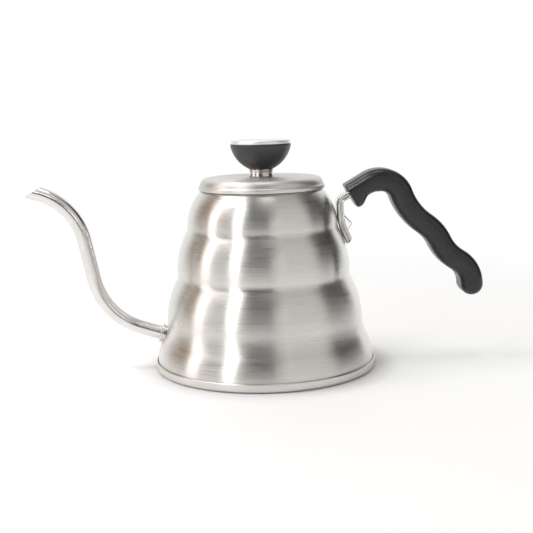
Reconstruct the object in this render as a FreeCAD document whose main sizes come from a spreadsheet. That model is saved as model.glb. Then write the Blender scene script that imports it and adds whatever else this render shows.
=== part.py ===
import FreeCAD, Part

import math
import os

import Sketcher

# Stove-top gooseneck kettle, in millimetres and degrees.
# +Z is up, the origin is the centre of the circle the kettle stands on,
# the spout points along -X and the handle along +X.

SIZES = {
    # Bottom: a flat disc with a raised rim that the body stands inside.
    "base_radius": 72.0,
    "base_flat_radius": 70.2,
    "base_foot_round": 1.8,
    "base_floor_z": 1.2,
    "base_inner_radius": 70.8,
    "base_lip_radius": 71.3,
    "base_lip_z": 4.9,
    "base_lip_round": 0.7,
    "base_top_z": 5.6,
    # Body: four bulged tiers, each an arc about its own centre, with a rounded valley between.
    "body_bottom": 1.6,
    "body_wall": 0.8,
    "foot_tier_x": 34.9,
    "foot_tier_z": 3.7,
    "foot_tier_radius": 35.8,
    "belly_tier_x": 9.6,
    "belly_tier_z": 30.9,
    "belly_tier_radius": 54.1,
    "waist_tier_x": 6.3,
    "waist_tier_z": 64.5,
    "waist_tier_radius": 49.5,
    "dome_tier_x": 13.9,
    "dome_tier_z": 92.0,
    "dome_tier_radius": 34.6,
    "low_valley_radius": 30.0,
    "middle_valley_radius": 8.0,
    "high_valley_radius": 8.0,
    "mouth_radius": 36.4,
    "mouth_lip_radius": 1.5,
    "mouth_neck_bottom": 111.5,
    # Spout: a bent tube, from its root inside the wall to its tip.
    "spout_root_x": 64.0,
    "spout_root_z": 21.5,
    "spout_heading": 18.4,
    "spout_root_run": 18.2,
    "spout_low_radius": 43.4,
    "spout_low_turn": 60.4,
    "spout_middle_run": 26.4,
    "spout_high_radius": 40.0,
    "spout_high_turn": 64.0,
    "spout_tip_run": 8.4,
    "spout_radius": 4.55,
    "spout_bore": 4.05,
    "spout_hole_radius": 4.6,
    "spout_lip_x": 152.15,
    "spout_lip_z": 113.9,
    "spout_lip_slope": 31.0,
    "collar_radius": 6.4,
    "collar_hub_radius": 5.5,
    "collar_start": 3.4,
    "collar_thickness": 1.1,
    "collar_hub_reach": 5.0,
    "collar_wall_gap": 0.05,
    # Handle bracket: a U channel that follows the body, then bends out into the grip.
    "bracket_foot_x": 54.2,
    "bracket_foot_z": 79.0,
    "bracket_heading": 114.0,
    "bracket_low_run": 8.8,
    "bracket_low_radius": 25.0,
    "bracket_low_turn": 20.0,
    "bracket_middle_run": 8.7,
    "bracket_bend_radius": 6.5,
    "bracket_bend_turn": 64.0,
    "bracket_tang_run": 22.0,
    "bracket_half_width": 6.2,
    "bracket_depth": 4.4,
    "bracket_wall": 1.2,
    "bracket_end_round": 1.5,
    # Gusset: a small triangular plate standing in the channel.
    "gusset_top_x": 49.7,
    "gusset_top_z": 101.0,
    "gusset_tip_x": 58.6,
    "gusset_tip_z": 91.6,
    "gusset_low_x": 53.6,
    "gusset_low_z": 84.0,
    "gusset_back_radius": 33.0,
    "gusset_tip_round": 1.6,
    "gusset_thickness": 1.0,
    # Grip: a rounded bar swept along a wavy line, with a finger stop under its front end.
    "grip_start_x": 56.6,
    "grip_start_z": 110.3,
    "grip_heading": 30.0,
    "grip_front_run": 15.0,
    "grip_hook_radius": 14.2,
    "grip_hook_turn": 100.0,
    "first_wave_radius": 41.8,
    "first_wave_turn": 35.0,
    "second_wave_radius": 31.2,
    "second_wave_turn": 29.0,
    "third_wave_radius": 30.0,
    "third_wave_turn": 33.0,
    "tail_radius": 19.0,
    "tail_turn": 58.0,
    "grip_half_height": 7.9,
    "grip_half_width": 11.0,
    "grip_corner": 6.0,
    "stop_top_x": 58.5,
    "stop_top_z": 107.0,
    "stop_low_x": 61.2,
    "stop_low_z": 102.3,
    "stop_nose_radius": 3.6,
    "stop_back_x": 66.5,
    "stop_back_z": 104.5,
    "stop_root_x": 69.3,
    "stop_root_z": 110.2,
    "stop_half_width": 8.0,
    "stop_edge_round": 2.0,
    # Slot for the bracket's tang, and the screw and nut that hold the grip on it.
    # Here z is the height above the grip's middle line and along is from its front face.
    "slot_start": -2.3,
    "slot_length": 20.0,
    "slot_half_width": 6.5,
    "slot_z": -2.15,
    "slot_height": 5.1,
    "screw_along": 13.0,
    "screw_radius": 1.75,
    "screw_top_z": 1.26,
    "screw_head_radius": 3.2,
    "screw_head_z": -5.6,
    "screw_head_top_z": -4.0,
    "screw_clearance": 0.2,
    "nut_radius": 4.04,
    "nut_z": -1.19,
    "nut_height": 2.6,
    "nut_bore": 1.8,
    # Lid cap, drawn from the axis outwards over the shoulder to the rolled hem.
    "lid_top": 123.6,
    "lid_dome_radius": 1800.0,
    "lid_dome_turn": 1.127,
    "lid_shoulder_radius": 4.2,
    "lid_shoulder_turn": 72.273,
    "lid_side_run": 1.2,
    "hem_hollow_radius": 1.0,
    "hem_hollow_turn": 40.0,
    "hem_bead_radius": 1.2,
    "hem_bead_turn": 56.6,
    "hem_edge_run": 1.4,
    "lid_wall": 0.7,
    # Lid ring: the flange the lid rests on and the skirt that drops into the mouth.
    "ring_heading": 180.0,
    "ring_start_x": 39.85,
    "ring_start_z": 116.7,
    "ring_flange_run": 1.95,
    "ring_corner_radius": 1.9,
    "ring_corner_turn": 90.0,
    "ring_skirt_run": 5.8,
    # Knob, stacked on the lid's axis.
    "collar_low_z": 123.65,
    "collar_low_lip_z": 124.35,
    "collar_high_lip_z": 127.85,
    "collar_top_z": 128.55,
    "knob_collar_radius": 7.75,
    "collar_waist_radius": 4.6,
    "stud_hole_radius": 2.3,
    "bowl_foot_z": 128.6,
    "bowl_foot_radius": 7.6,
    "bowl_side_radius": 20.9,
    "bowl_rim_radius": 19.4,
    "bowl_rim_z": 143.9,
    "bowl_lip_radius": 18.8,
    "bowl_top_z": 144.6,
    "bowl_recess_radius": 17.2,
    "bowl_recess_z": 143.6,
    "pocket_radius": 4.05,
    "pocket_top_z": 142.0,
    "cap_spigot_radius": 17.1,
    "cap_spigot_z": 143.65,
    "cap_radius": 19.0,
    "cap_low_z": 144.65,
    "cap_top_z": 146.9,
    "cap_flat_radius": 18.0,
    "cap_edge_z": 145.9,
    "cap_edge_round": 1.0,
    "insert_radius": 4.0,
    "insert_low_z": 130.0,
    "insert_top_z": 141.5,
    "insert_bore": 2.05,
    "stud_radius": 2.0,
    "stud_top_z": 139.5,
    "stud_head_radius": 4.2,
    "stud_head_z": 119.7,
    "stud_head_top_z": 122.05,
    "washer_radius": 5.5,
    "washer_low_z": 122.1,
    "washer_top_z": 122.8,
    # Cross recess of both screws.
    "recess_width": 1.0,
    "recess_length": 4.4,
    "recess_depth": 1.2,
}

TIERS = ["foot", "belly", "waist", "dome"]
VALLEYS = ["low", "middle", "high"]

Vector = FreeCAD.Vector
Constraint = Sketcher.Constraint
ORIGIN = -1  # Sketcher's number for the sketch origin and its X axis
VERTICAL_AXIS = -2
START, END, CENTRE = 1, 2, 3

doc = FreeCAD.newDocument("GooseneckKettle")
sheet = doc.addObject("Spreadsheet::Sheet", "Sizes")
for row, (alias, value) in enumerate(SIZES.items(), start=1):
    sheet.set(f"A{row}", alias)
    sheet.set(f"B{row}", str(value))
    sheet.setAlias(f"B{row}", alias)
doc.recompute()


def size(alias):
    return float(sheet.get(alias))


# ---------------------------------------------------------------- sketches

UPRIGHT = FreeCAD.Placement(Vector(0, 0, 0), FreeCAD.Rotation(Vector(1, 0, 0), 90))
# The spout and its collar are drawn along +X and stand on the -X side.
HALF_TURN = FreeCAD.Placement(Vector(0, 0, 0), FreeCAD.Rotation(Vector(0, 0, 1), 180))


def upright_sketch(label):
    """An empty sketch in the XZ plane: its x is X and its y is Z."""
    sketch = doc.addObject("Sketcher::SketchObject", label)
    sketch.Placement = UPRIGHT
    return sketch


def body_sketch(body, label, role="XZ_Plane"):
    """An empty sketch on one of a body's own origin planes."""
    sketch = body.newObject("Sketcher::SketchObject", label)
    plane = [item for item in body.Origin.OriginFeatures if item.Role == role][0]
    sketch.AttachmentSupport = (plane, [""])
    sketch.MapMode = "FlatFace"
    return sketch


def bind(sketch, constraint, name, expression):
    """Adds a constraint whose value follows the sheet."""
    number = sketch.addConstraint(constraint)
    sketch.renameConstraint(number, name)
    sketch.setExpression(f"Constraints.{name}", expression)


def pin_point(sketch, edge, end, point, x_alias, z_alias):
    """Holds a point at the sheet's x and z, or on an axis where the alias is None."""
    if x_alias is None:
        sketch.addConstraint(Constraint("PointOnObject", edge, end, VERTICAL_AXIS))
    else:
        across = Constraint("DistanceX", ORIGIN, START, edge, end, point.x)
        bind(sketch, across, f"x{edge}_{end}", f"Sizes.{x_alias}")
    if z_alias is None:
        sketch.addConstraint(Constraint("PointOnObject", edge, end, ORIGIN))
    else:
        up = Constraint("DistanceY", ORIGIN, START, edge, end, point.y)
        bind(sketch, up, f"z{edge}_{end}", f"Sizes.{z_alias}")


def arc_between(centre, radius, first, last):
    """The anticlockwise arc about centre from the angle first to the angle last, in degrees."""
    circle = Part.Circle(centre, Vector(0, 0, 1), radius)
    return Part.ArcOfCircle(circle, math.radians(first), math.radians(last))


def chain(label, start, heading_alias, moves):
    """A line of runs and arcs, each tangent to the one before it.

    start is a pair of aliases. A move is ("run", length), ("left", radius, turn)
    or ("right", radius, turn), again as aliases.
    """
    sketch = upright_sketch(label)
    heading = size(heading_alias) if heading_alias else 0.0
    here = Vector(size(start[0]) if start[0] else 0.0, size(start[1]), 0)
    along = Vector(math.cos(math.radians(heading)), math.sin(math.radians(heading)), 0)
    lead = sketch.addGeometry(Part.LineSegment(here - along, here), True)
    pin_point(sketch, lead, END, here, start[0], start[1])
    sketch.addConstraint(Constraint("Distance", lead, 1.0))
    if heading_alias:
        angle = Constraint("Angle", lead, math.radians(heading))
        bind(sketch, angle, "heading", f"Sizes.{heading_alias}")
    else:
        sketch.addConstraint(Constraint("Horizontal", lead))
    before = (lead, END)
    for kind, length, *turn in moves:
        angle = math.radians(heading)
        along = Vector(math.cos(angle), math.sin(angle), 0)
        if kind == "run":
            there = here + along * size(length)
            edge = sketch.addGeometry(Part.LineSegment(here, there))
            first, last = START, END
            bind(sketch, Constraint("Distance", edge, size(length)), f"run{edge}", f"Sizes.{length}")
        else:
            radius, sweep = size(length), size(turn[0])
            side = 1 if kind == "left" else -1
            centre = here + Vector(-along.y, along.x, 0) * (side * radius)
            begin = heading - 90 * side
            finish = begin + side * sweep
            low, high = sorted((begin, finish))
            edge = sketch.addGeometry(arc_between(centre, radius, low, high))
            first, last = (START, END) if side > 0 else (END, START)
            finish_angle = math.radians(finish)
            there = centre + Vector(math.cos(finish_angle), math.sin(finish_angle), 0) * radius
            bind(sketch, Constraint("Radius", edge, radius), f"radius{edge}", f"Sizes.{length}")
            span = Constraint("Angle", edge, math.radians(sweep))
            bind(sketch, span, f"turn{edge}", f"Sizes.{turn[0]}")
            heading += side * sweep
        sketch.addConstraint(Constraint("Tangent", *before, edge, first))
        before = (edge, last)
        here = there
    return sketch, here, heading


def closed_outline(sketch, corners):
    """A closed outline through corners: (x alias, z alias, radius alias of the next side).

    A side with a radius bends outwards when the corners go round anticlockwise,
    and inwards when its alias has a minus sign in front.
    """
    points = [Vector(size(x) if x else 0.0, size(z) if z else 0.0, 0) for x, z, _ in corners]
    count = len(corners)
    sides = []
    for i, (_, _, bend) in enumerate(corners):
        begin, finish = points[i], points[(i + 1) % count]
        if not bend:
            sides.append((sketch.addGeometry(Part.LineSegment(begin, finish)), START, END))
        elif bend.startswith("-"):
            edge = sketch.addGeometry(bulged_side(finish, begin, size(bend[1:])))
            sides.append((edge, END, START))
        else:
            edge = sketch.addGeometry(bulged_side(begin, finish, size(bend)))
            sides.append((edge, START, END))
    for i, (x_alias, z_alias, bend) in enumerate(corners):
        edge, first, last = sides[i]
        after, after_first, _ = sides[(i + 1) % count]
        sketch.addConstraint(Constraint("Coincident", edge, last, after, after_first))
        pin_point(sketch, edge, first, points[i], x_alias, z_alias)
        if bend:
            alias = bend.lstrip("-")
            bind(sketch, Constraint("Radius", edge, size(alias)), f"bend{edge}", f"Sizes.{alias}")


def bulged_side(begin, finish, radius):
    """The anticlockwise arc of a radius from begin to finish."""
    middle = (begin + finish) * 0.5
    half = (finish - begin) * 0.5
    reach = math.sqrt(radius**2 - half.Length**2)
    centre = middle + Vector(-half.y, half.x, 0) * (reach / half.Length)
    return arc_between(centre, radius, angle_of(begin, centre), angle_of(finish, centre))


def angle_of(point, centre):
    return math.degrees(math.atan2(point.y - centre.y, point.x - centre.x))


def rounded_rectangle(label, half_width, half_height, corner, whole=True):
    """A rounded rectangle about the origin, or only its upper half."""
    wide, high, round_off = size(half_width), size(half_height), size(corner)
    flat, shoulder = wide - round_off, high - round_off
    sketch = doc.addObject("Sketcher::SketchObject", label)
    low = -shoulder if whole else 0.0
    right = sketch.addGeometry(Part.LineSegment(Vector(wide, low, 0), Vector(wide, shoulder, 0)))
    top_right = sketch.addGeometry(arc_between(Vector(flat, shoulder, 0), round_off, 0, 90))
    top = sketch.addGeometry(Part.LineSegment(Vector(flat, high, 0), Vector(-flat, high, 0)))
    top_left = sketch.addGeometry(arc_between(Vector(-flat, shoulder, 0), round_off, 90, 180))
    left = sketch.addGeometry(Part.LineSegment(Vector(-wide, shoulder, 0), Vector(-wide, low, 0)))
    loop = [right, top_right, top, top_left, left]
    corners = [top_right, top_left]
    if whole:
        low_left = sketch.addGeometry(arc_between(Vector(-flat, low, 0), round_off, 180, 270))
        bottom = sketch.addGeometry(Part.LineSegment(Vector(-flat, -high, 0), Vector(flat, -high, 0)))
        low_right = sketch.addGeometry(arc_between(Vector(flat, low, 0), round_off, 270, 360))
        loop += [low_left, bottom, low_right]
        corners += [low_left, low_right]
        sketch.addConstraint(Constraint("Horizontal", bottom))
        bind(sketch, Constraint("DistanceY", bottom, START, ORIGIN, START, high), "low",
             f"Sizes.{half_height}")
    else:
        base = sketch.addGeometry(Part.LineSegment(Vector(-wide, 0, 0), Vector(wide, 0, 0)))
        sketch.addConstraint(Constraint("Coincident", left, END, base, START))
        sketch.addConstraint(Constraint("Coincident", base, END, right, START))
        sketch.addConstraint(Constraint("PointOnObject", base, START, ORIGIN))
        sketch.addConstraint(Constraint("PointOnObject", base, END, ORIGIN))
    for before, after in zip(loop, loop[1:] + (loop[:1] if whole else [])):
        sketch.addConstraint(Constraint("Tangent", before, END, after, START))
    for side in (right, left):
        sketch.addConstraint(Constraint("Vertical", side))
    sketch.addConstraint(Constraint("Horizontal", top))
    bind(sketch, Constraint("DistanceX", ORIGIN, START, right, START, wide), "right",
         f"Sizes.{half_width}")
    bind(sketch, Constraint("DistanceX", left, START, ORIGIN, START, wide), "left",
         f"Sizes.{half_width}")
    bind(sketch, Constraint("DistanceY", ORIGIN, START, top, START, high), "high",
         f"Sizes.{half_height}")
    for number, arc in enumerate(corners):
        bind(sketch, Constraint("Radius", arc, round_off), f"corner{number}", f"Sizes.{corner}")
    return sketch


# ---------------------------------------------------------------- solids


def boolean(kind, label, base, tool):
    """A Part::Cut or Part::Common of two objects."""
    result = doc.addObject(f"Part::{kind}", label)
    result.Base = base
    result.Tool = tool
    return result


def fuse(label, shapes):
    result = doc.addObject("Part::MultiFuse", label)
    result.Shapes = shapes
    result.Refine = True
    return result


def revolve(label, source):
    """Turns a sketch or face about the kettle's axis."""
    turned = doc.addObject("Part::Revolution", label)
    turned.Source = source
    turned.Axis = Vector(0, 0, 1)
    turned.Angle = 360
    turned.Solid = True
    return turned


def pressed_sheet(label, sketch, wall, side):
    """Sheet metal: an open outline thickened to one side, then turned about the axis."""
    strip = doc.addObject("Part::Offset2D", f"{label}_strip")
    strip.Source = sketch
    strip.Mode = "Skin"
    strip.Fill = True
    strip.Value = side * size(wall)
    strip.setExpression("Value", f"{side} * Sizes.{wall}")
    return revolve(label, strip)


def turn_to(heading):
    """Expression for the rotation that points an object's Z along a heading in XZ and its X along Y."""
    return f"rotation(vector(0; 1; 0); -({heading})) * rotation(vector(1; 1; 1); 120)"


def aimed(item, x, z, heading):
    """Stands an object at x, z with its own Z along the heading."""
    item.setExpression("Placement", f"placement(vector({x}; 0; {z}); {turn_to(heading)})")
    return item


def sweep(label, section, path):
    swept = doc.addObject("Part::Sweep", label)
    swept.Sections = [section]
    swept.Spine = (path, [f"Edge{i + 1}" for i in range(len(path.Shape.Edges))])
    swept.Solid = True
    swept.Frenet = False
    return swept


def round_section(label, radius, x, z, heading):
    """A circle square to a path's start."""
    sketch = doc.addObject("Sketcher::SketchObject", label)
    circle = sketch.addGeometry(Part.Circle(Vector(0, 0, 0), Vector(0, 0, 1), size(radius)))
    sketch.addConstraint(Constraint("Coincident", circle, CENTRE, ORIGIN, START))
    bind(sketch, Constraint("Radius", circle, size(radius)), "radius", f"Sizes.{radius}")
    return aimed(sketch, f"Sizes.{x}", f"Sizes.{z}", f"Sizes.{heading}")


def cylinder(label, radius, height):
    """A Part::Cylinder with both sizes as expressions."""
    item = doc.addObject("Part::Cylinder", label)
    item.setExpression("Radius", radius)
    item.setExpression("Height", height)
    return item


def turned_body(label, corners):
    """A PartDesign body turned about the kettle's axis from a closed outline."""
    body = doc.addObject("PartDesign::Body", label)
    sketch = body_sketch(body, f"{label}_outline")
    closed_outline(sketch, corners)
    turned = body.newObject("PartDesign::Revolution", f"{label}_turned")
    turned.Profile = sketch
    turned.ReferenceAxis = (sketch, ["V_Axis"])
    turned.Angle = 360
    body.Tip = turned
    return body


def edges_at(shape, corner):
    """Numbers of the edges that stand square to the XZ plane at a corner."""
    found = []
    for number, edge in enumerate(shape.Edges, start=1):
        offsets = [(vertex.X - corner.x, vertex.Z - corner.y) for vertex in edge.Vertexes]
        if all(math.hypot(*offset) < 0.01 for offset in offsets):
            found.append(number)
    return found


def screw(label, prefix, place):
    """A round-headed screw pointing up from its head, with a cross recess underneath.

    place(item, x, y, z) stands an item in the screw's own frame.
    """
    low, shoulder, tip = (f"Sizes.{prefix}_{name}" for name in ("head_z", "head_top_z", "top_z"))
    head = cylinder(f"{label}_head", f"Sizes.{prefix}_head_radius", f"{shoulder} - {low}")
    shank = cylinder(f"{label}_shank", f"Sizes.{prefix}_radius", f"{tip} - {low}")
    for item in (head, shank):
        place(item, "0", "0", low)
    slots = []
    for name, length, width in (("a", "length", "width"), ("b", "width", "length")):
        slot = doc.addObject("Part::Box", f"{label}_slot_{name}")
        slot.setExpression("Length", f"Sizes.recess_{length}")
        slot.setExpression("Width", f"Sizes.recess_{width}")
        slot.setExpression("Height", "Sizes.recess_depth")
        place(slot, f"-Sizes.recess_{length} / 2", f"-Sizes.recess_{width} / 2", low)
        slots.append(slot)
    solid = fuse(f"{label}_solid", [head, shank])
    return boolean("Cut", label, solid, fuse(f"{label}_recess", slots))


# ---------------------------------------------------------------- body and bottom


def tier_circle(name):
    centre = Vector(size(f"{name}_tier_x"), size(f"{name}_tier_z"), 0)
    return centre, size(f"{name}_tier_radius")


def outer_tangent_centre(low, high, radius):
    """Centre of the circle of a radius that touches two tier circles from outside."""
    (a, ra), (b, rb) = low, high
    line = b - a
    ka, kb = ra + radius, rb + radius
    along = (ka**2 - kb**2 + line.Length**2) / (2 * line.Length)
    off = math.sqrt(ka**2 - along**2)
    unit = line / line.Length
    return a + unit * along + Vector(unit.y, -unit.x, 0) * off


def body_profile():
    """The outside line of the body, from under the rim up the tiers and over the mouth's lip."""
    sketch = upright_sketch("body_profile")
    circles = [tier_circle(name) for name in TIERS]
    radii = [size(f"{name}_valley_radius") for name in VALLEYS]
    centres = [outer_tangent_centre(circles[i], circles[i + 1], radii[i]) for i in range(3)]
    lip_radius, mouth = size("mouth_lip_radius"), size("mouth_radius")
    dome, dome_radius = circles[3]
    lip_x = mouth + lip_radius
    reach = dome_radius - lip_radius
    lip = Vector(lip_x, dome.y + math.sqrt(reach**2 - (lip_x - dome.x) ** 2), 0)
    arcs = []
    first = math.degrees(math.asin((size("body_bottom") - circles[0][0].y) / circles[0][1]))
    for i, (centre, radius) in enumerate(circles):
        last = angle_of(centres[i], centre) if i < 3 else angle_of(lip, centre)
        arcs.append(sketch.addGeometry(arc_between(centre, radius, first, last)))
        if i < 3:
            first = angle_of(centres[i], circles[i + 1][0])
    valleys = []
    for i, centre in enumerate(centres):
        above = angle_of(circles[i + 1][0], centre) % 360
        below = angle_of(circles[i][0], centre) % 360
        valleys.append(sketch.addGeometry(arc_between(centre, radii[i], above, below)))
    lip_arc = sketch.addGeometry(arc_between(lip, lip_radius, last, 180))
    neck_top, neck_bottom = Vector(mouth, lip.y, 0), Vector(mouth, size("mouth_neck_bottom"), 0)
    neck = sketch.addGeometry(Part.LineSegment(neck_top, neck_bottom))
    for i, name in enumerate(TIERS):
        centre, radius = circles[i]
        pin_point(sketch, arcs[i], CENTRE, centre, f"{name}_tier_x", f"{name}_tier_z")
        bind(sketch, Constraint("Radius", arcs[i], radius), name, f"Sizes.{name}_tier_radius")
    for i, name in enumerate(VALLEYS):
        sketch.addConstraint(Constraint("Tangent", arcs[i], END, valleys[i], END))
        sketch.addConstraint(Constraint("Tangent", valleys[i], START, arcs[i + 1], START))
        valley = Constraint("Radius", valleys[i], radii[i])
        bind(sketch, valley, f"{name}_valley", f"Sizes.{name}_valley_radius")
    bottom = Constraint("DistanceY", ORIGIN, START, arcs[0], START, size("body_bottom"))
    bind(sketch, bottom, "bottom", "Sizes.body_bottom")
    sketch.addConstraint(Constraint("Tangent", arcs[3], END, lip_arc, START))
    sketch.addConstraint(Constraint("Tangent", lip_arc, END, neck, START))
    sketch.addConstraint(Constraint("Vertical", neck))
    bind(sketch, Constraint("Radius", lip_arc, lip_radius), "lip", "Sizes.mouth_lip_radius")
    pin_point(sketch, neck, END, neck_bottom, "mouth_radius", "mouth_neck_bottom")
    return sketch


def spout_axis_rod(label, radius, start, length, before=""):
    """A cylinder on the spout's straight root, start and length measured along it."""
    item = cylinder(label, f"Sizes.{radius}", length)
    x = f"Sizes.spout_root_x + ({start}) * cos(Sizes.spout_heading)"
    z = f"Sizes.spout_root_z + ({start}) * sin(Sizes.spout_heading)"
    place = f"placement(vector({x}; 0; {z}); {turn_to('Sizes.spout_heading')})"
    item.setExpression("Placement", before + place)
    return item


def make_body(profile):
    shell = pressed_sheet("body_sheet", profile, "body_wall", 1)
    half_turn = "placement(vector(0; 0; 0); rotation(vector(0; 0; 1); 180)) * "
    hole = spout_axis_rod("spout_hole", "spout_hole_radius", "-6", "14", half_turn)
    return boolean("Cut", "body_shell", shell, hole)


def make_base():
    corners = [
        (None, None, None),
        ("base_flat_radius", None, "base_foot_round"),
        ("base_radius", "base_foot_round", None),
        ("base_radius", "base_lip_z", "base_lip_round"),
        ("base_lip_radius", "base_top_z", None),
        ("base_inner_radius", "base_top_z", None),
        ("base_inner_radius", "base_floor_z", None),
        (None, "base_floor_z", None),
    ]
    return turned_body("base_plate", corners)


# ---------------------------------------------------------------- spout


def spout_path():
    path, _, _ = chain(
        "spout_path",
        ("spout_root_x", "spout_root_z"),
        "spout_heading",
        [
            ("run", "spout_root_run"),
            ("left", "spout_low_radius", "spout_low_turn"),
            ("run", "spout_middle_run"),
            ("right", "spout_high_radius", "spout_high_turn"),
            ("run", "spout_tip_run"),
        ],
    )
    doc.recompute()
    return path


def make_spout():
    """The tube, cut off slantwise so that its lower lip reaches furthest."""
    path = spout_path()
    start = ("spout_root_x", "spout_root_z", "spout_heading")
    outside = sweep("spout_outside", round_section("spout_outer_ring", "spout_radius", *start), path)
    inside = sweep("spout_inside", round_section("spout_inner_ring", "spout_bore", *start), path)
    block = doc.addObject("Part::Box", "spout_tip_block")
    block.Length = block.Width = block.Height = 30
    place = "vector(Sizes.spout_lip_x; -15; Sizes.spout_lip_z)"
    turn = "rotation(vector(0; 1; 0); Sizes.spout_lip_slope)"
    back = "placement(vector(-25; 0; 0); rotation(vector(0; 1; 0); 0))"
    block.setExpression("Placement", f"placement({place}; {turn}) * {back}")
    tube = boolean("Cut", "spout_blank", outside, inside)
    spout = boolean("Cut", "spout_tube", tube, block)
    spout.Placement = HALF_TURN
    return spout


def make_spout_collar(profile):
    """A flanged ring round the spout's root, shaped to the body it sits against."""
    start, thickness, reach = "Sizes.collar_start", "Sizes.collar_thickness", "Sizes.collar_hub_reach"
    flange = spout_axis_rod("collar_flange", "collar_radius", start, thickness)
    hub = spout_axis_rod("collar_hub", "collar_hub_radius", f"{start} + {thickness} - {reach}", reach)
    bore = spout_axis_rod("collar_bore", "spout_hole_radius", "-6", "20")
    bored = boolean("Cut", "collar_bored", fuse("collar_ring", [flange, hub]), bore)
    bulk = doc.addObject("Part::Feature", "body_bulk")
    bulk.Shape = body_bulk(profile.Shape, size("collar_wall_gap"))
    collar = boolean("Cut", "spout_collar", bored, bulk)
    collar.Placement = HALF_TURN
    return collar


def body_bulk(outline, gap):
    """The space inside the body's two lower tiers, grown by a gap."""
    grown = outline.makeOffset2D(-gap, 0, False, True)
    lower = [edge for edge in grown.Edges if edge.BoundBox.XMax > size("belly_tier_radius")]
    wire = Part.Wire(Part.sortEdges(lower)[0])
    bottom, top = sorted((wire.Vertexes[0].Point, wire.Vertexes[-1].Point), key=lambda end: end.z)
    axis_low, axis_high = Vector(0, 0, bottom.z), Vector(0, 0, top.z)
    closing = [
        Part.makeLine(axis_low, bottom),
        Part.makeLine(top, axis_high),
        Part.makeLine(axis_high, axis_low),
    ]
    face = Part.Face(Part.Wire(Part.sortEdges(wire.Edges + closing)[0]))
    return face.revolve(Vector(0, 0, 0), Vector(0, 0, 1), 360)


# ---------------------------------------------------------------- handle


def channel_section():
    """The bracket's U section: the web lies on the path and the flanges hang to its right."""
    sketch = doc.addObject("Sketcher::SketchObject", "bracket_section")
    half, depth, wall = size("bracket_half_width"), size("bracket_depth"), size("bracket_wall")
    inner = half - wall
    corners = [
        (-half, 0), (-half, -depth), (-inner, -depth), (-inner, -wall),
        (inner, -wall), (inner, -depth), (half, -depth), (half, 0),
    ]
    points = [Vector(x, y, 0) for x, y in corners]
    sides = [
        sketch.addGeometry(Part.LineSegment(points[i], points[(i + 1) % 8])) for i in range(8)
    ]
    for i in range(8):
        sketch.addConstraint(Constraint("Coincident", sides[i], END, sides[(i + 1) % 8], START))
        sketch.addConstraint(Constraint("Horizontal" if i % 2 else "Vertical", sides[i]))
    bind(sketch, Constraint("DistanceX", ORIGIN, START, sides[7], START, half), "right",
         "Sizes.bracket_half_width")
    bind(sketch, Constraint("DistanceX", sides[0], START, ORIGIN, START, half), "left",
         "Sizes.bracket_half_width")
    sketch.addConstraint(Constraint("PointOnObject", sides[0], START, ORIGIN))
    for side, name in ((1, "left_wall"), (5, "right_wall")):
        bind(sketch, Constraint("DistanceX", sides[side], START, sides[side], END, wall), name,
             "Sizes.bracket_wall")
    bind(sketch, Constraint("DistanceY", sides[3], START, sides[0], START, wall), "web",
         "Sizes.bracket_wall")
    for side, name in ((1, "left_depth"), (5, "right_depth")):
        bind(sketch, Constraint("DistanceY", sides[side], START, sides[0], START, depth), name,
             "Sizes.bracket_depth")
    return aimed(sketch, "Sizes.bracket_foot_x", "Sizes.bracket_foot_z", "Sizes.bracket_heading")


def make_bracket():
    """A U channel that runs up the body's side and bends out into the grip."""
    path, _, _ = chain(
        "bracket_path",
        ("bracket_foot_x", "bracket_foot_z"),
        "bracket_heading",
        [
            ("run", "bracket_low_run"),
            ("right", "bracket_low_radius", "bracket_low_turn"),
            ("run", "bracket_middle_run"),
            ("right", "bracket_bend_radius", "bracket_bend_turn"),
            ("run", "bracket_tang_run"),
        ],
    )
    section = channel_section()
    doc.recompute()
    blank = sweep("bracket_blank", section, path)
    doc.recompute()
    heading, depth = math.radians(size("bracket_heading")), size("bracket_depth")
    foot = Vector(size("bracket_foot_x"), size("bracket_foot_z"), 0)
    corner = foot + Vector(math.sin(heading), -math.cos(heading), 0) * depth
    bracket = doc.addObject("Part::Fillet", "handle_bracket")
    bracket.Base = blank
    radius = size("bracket_end_round")
    bracket.Edges = [(number, radius, radius) for number in edges_at(blank.Shape, corner)]
    return bracket


def make_gusset():
    """A small plate that stands in the channel and shows beyond its open side."""
    body = doc.addObject("PartDesign::Body", "bracket_gusset")
    sketch = body_sketch(body, "gusset_outline")
    corners = [
        ("gusset_low_x", "gusset_low_z", None),
        ("gusset_tip_x", "gusset_tip_z", None),
        ("gusset_top_x", "gusset_top_z", "gusset_back_radius"),
    ]
    closed_outline(sketch, corners)
    pad = body.newObject("PartDesign::Pad", "gusset_plate")
    pad.Profile = sketch
    pad.SideType = "Symmetric"
    pad.setExpression("Length", "Sizes.gusset_thickness")
    doc.recompute()
    tip = Vector(size("gusset_tip_x"), size("gusset_tip_z"), 0)
    rounded = body.newObject("PartDesign::Fillet", "gusset_tip")
    rounded.Base = (pad, [f"Edge{number}" for number in edges_at(pad.Shape, tip)])
    rounded.setExpression("Radius", "Sizes.gusset_tip_round")
    body.Tip = rounded
    return body


def in_grip(item, x, y, z):
    """Stands an item in the grip's frame: x along it from its front face, z up from its middle."""
    start = "vector(Sizes.grip_start_x; 0; Sizes.grip_start_z)"
    frame = f"placement({start}; rotation(vector(0; 1; 0); -Sizes.grip_heading))"
    place = f"placement(vector({x}; {y}; {z}); rotation(vector(0; 0; 1); 0))"
    item.setExpression("Placement", f"{frame} * {place}")


def at_grip_screw(item, x, y, z):
    in_grip(item, f"Sizes.screw_along + {x}", y, z)


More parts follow.
